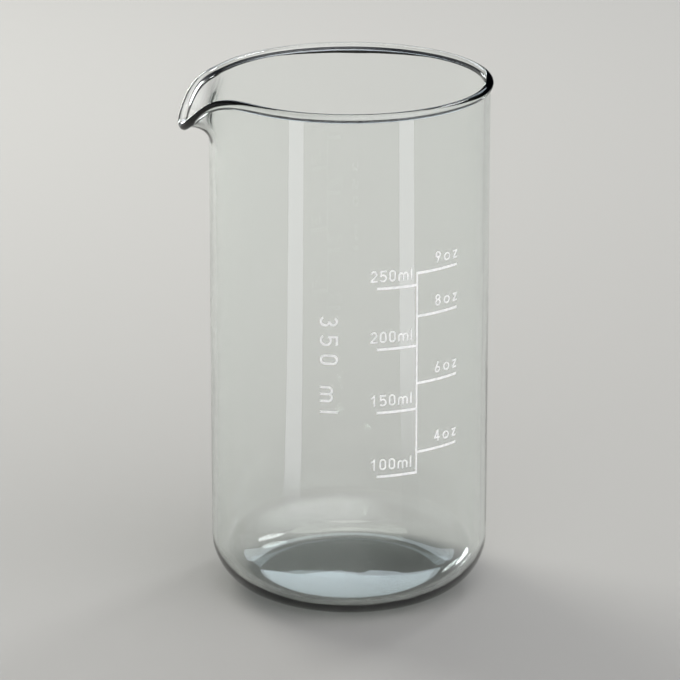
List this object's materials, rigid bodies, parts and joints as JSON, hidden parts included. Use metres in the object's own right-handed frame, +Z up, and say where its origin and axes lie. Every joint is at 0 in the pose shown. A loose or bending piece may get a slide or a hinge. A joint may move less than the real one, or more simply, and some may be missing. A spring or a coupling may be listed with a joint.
{
  "type": "beaker",
  "caption": "Tall clear glass beaker with a rounded heel, a beaded rim, a drooping pouring spout and a white enamel volume scale in millilitres and ounces.",
  "frame": {"origin": "centre of the flat base, on the surface that the beaker stands on", "axes": "+Z up along the vessel's axis; the spout points along -X; the volume scale faces -Y, 17 degrees towards +X"},
  "size_m": [0.074, 0.0672, 0.125],
  "materials": {
    "glass": "clear, fire-polished, faint grey-green tint",
    "enamel": "satin white fired-on enamel print"
  },
  "bodies": {
    "root": {"glass_vessel": "glass", "scale_spine": "enamel", "tick_100_ml": "enamel", "tick_150_ml": "enamel", "tick_200_ml": "enamel", "tick_250_ml": "enamel", "tick_4_oz": "enamel", "tick_6_oz": "enamel", "tick_8_oz": "enamel", "tick_9_oz": "enamel", "label_100_ml": "enamel", "label_150_ml": "enamel", "label_200_ml": "enamel", "label_250_ml": "enamel", "label_4_oz": "enamel", "label_6_oz": "enamel", "label_8_oz": "enamel", "label_9_oz": "enamel", "capacity_mark": "enamel"}
  },
  "joints": []
}
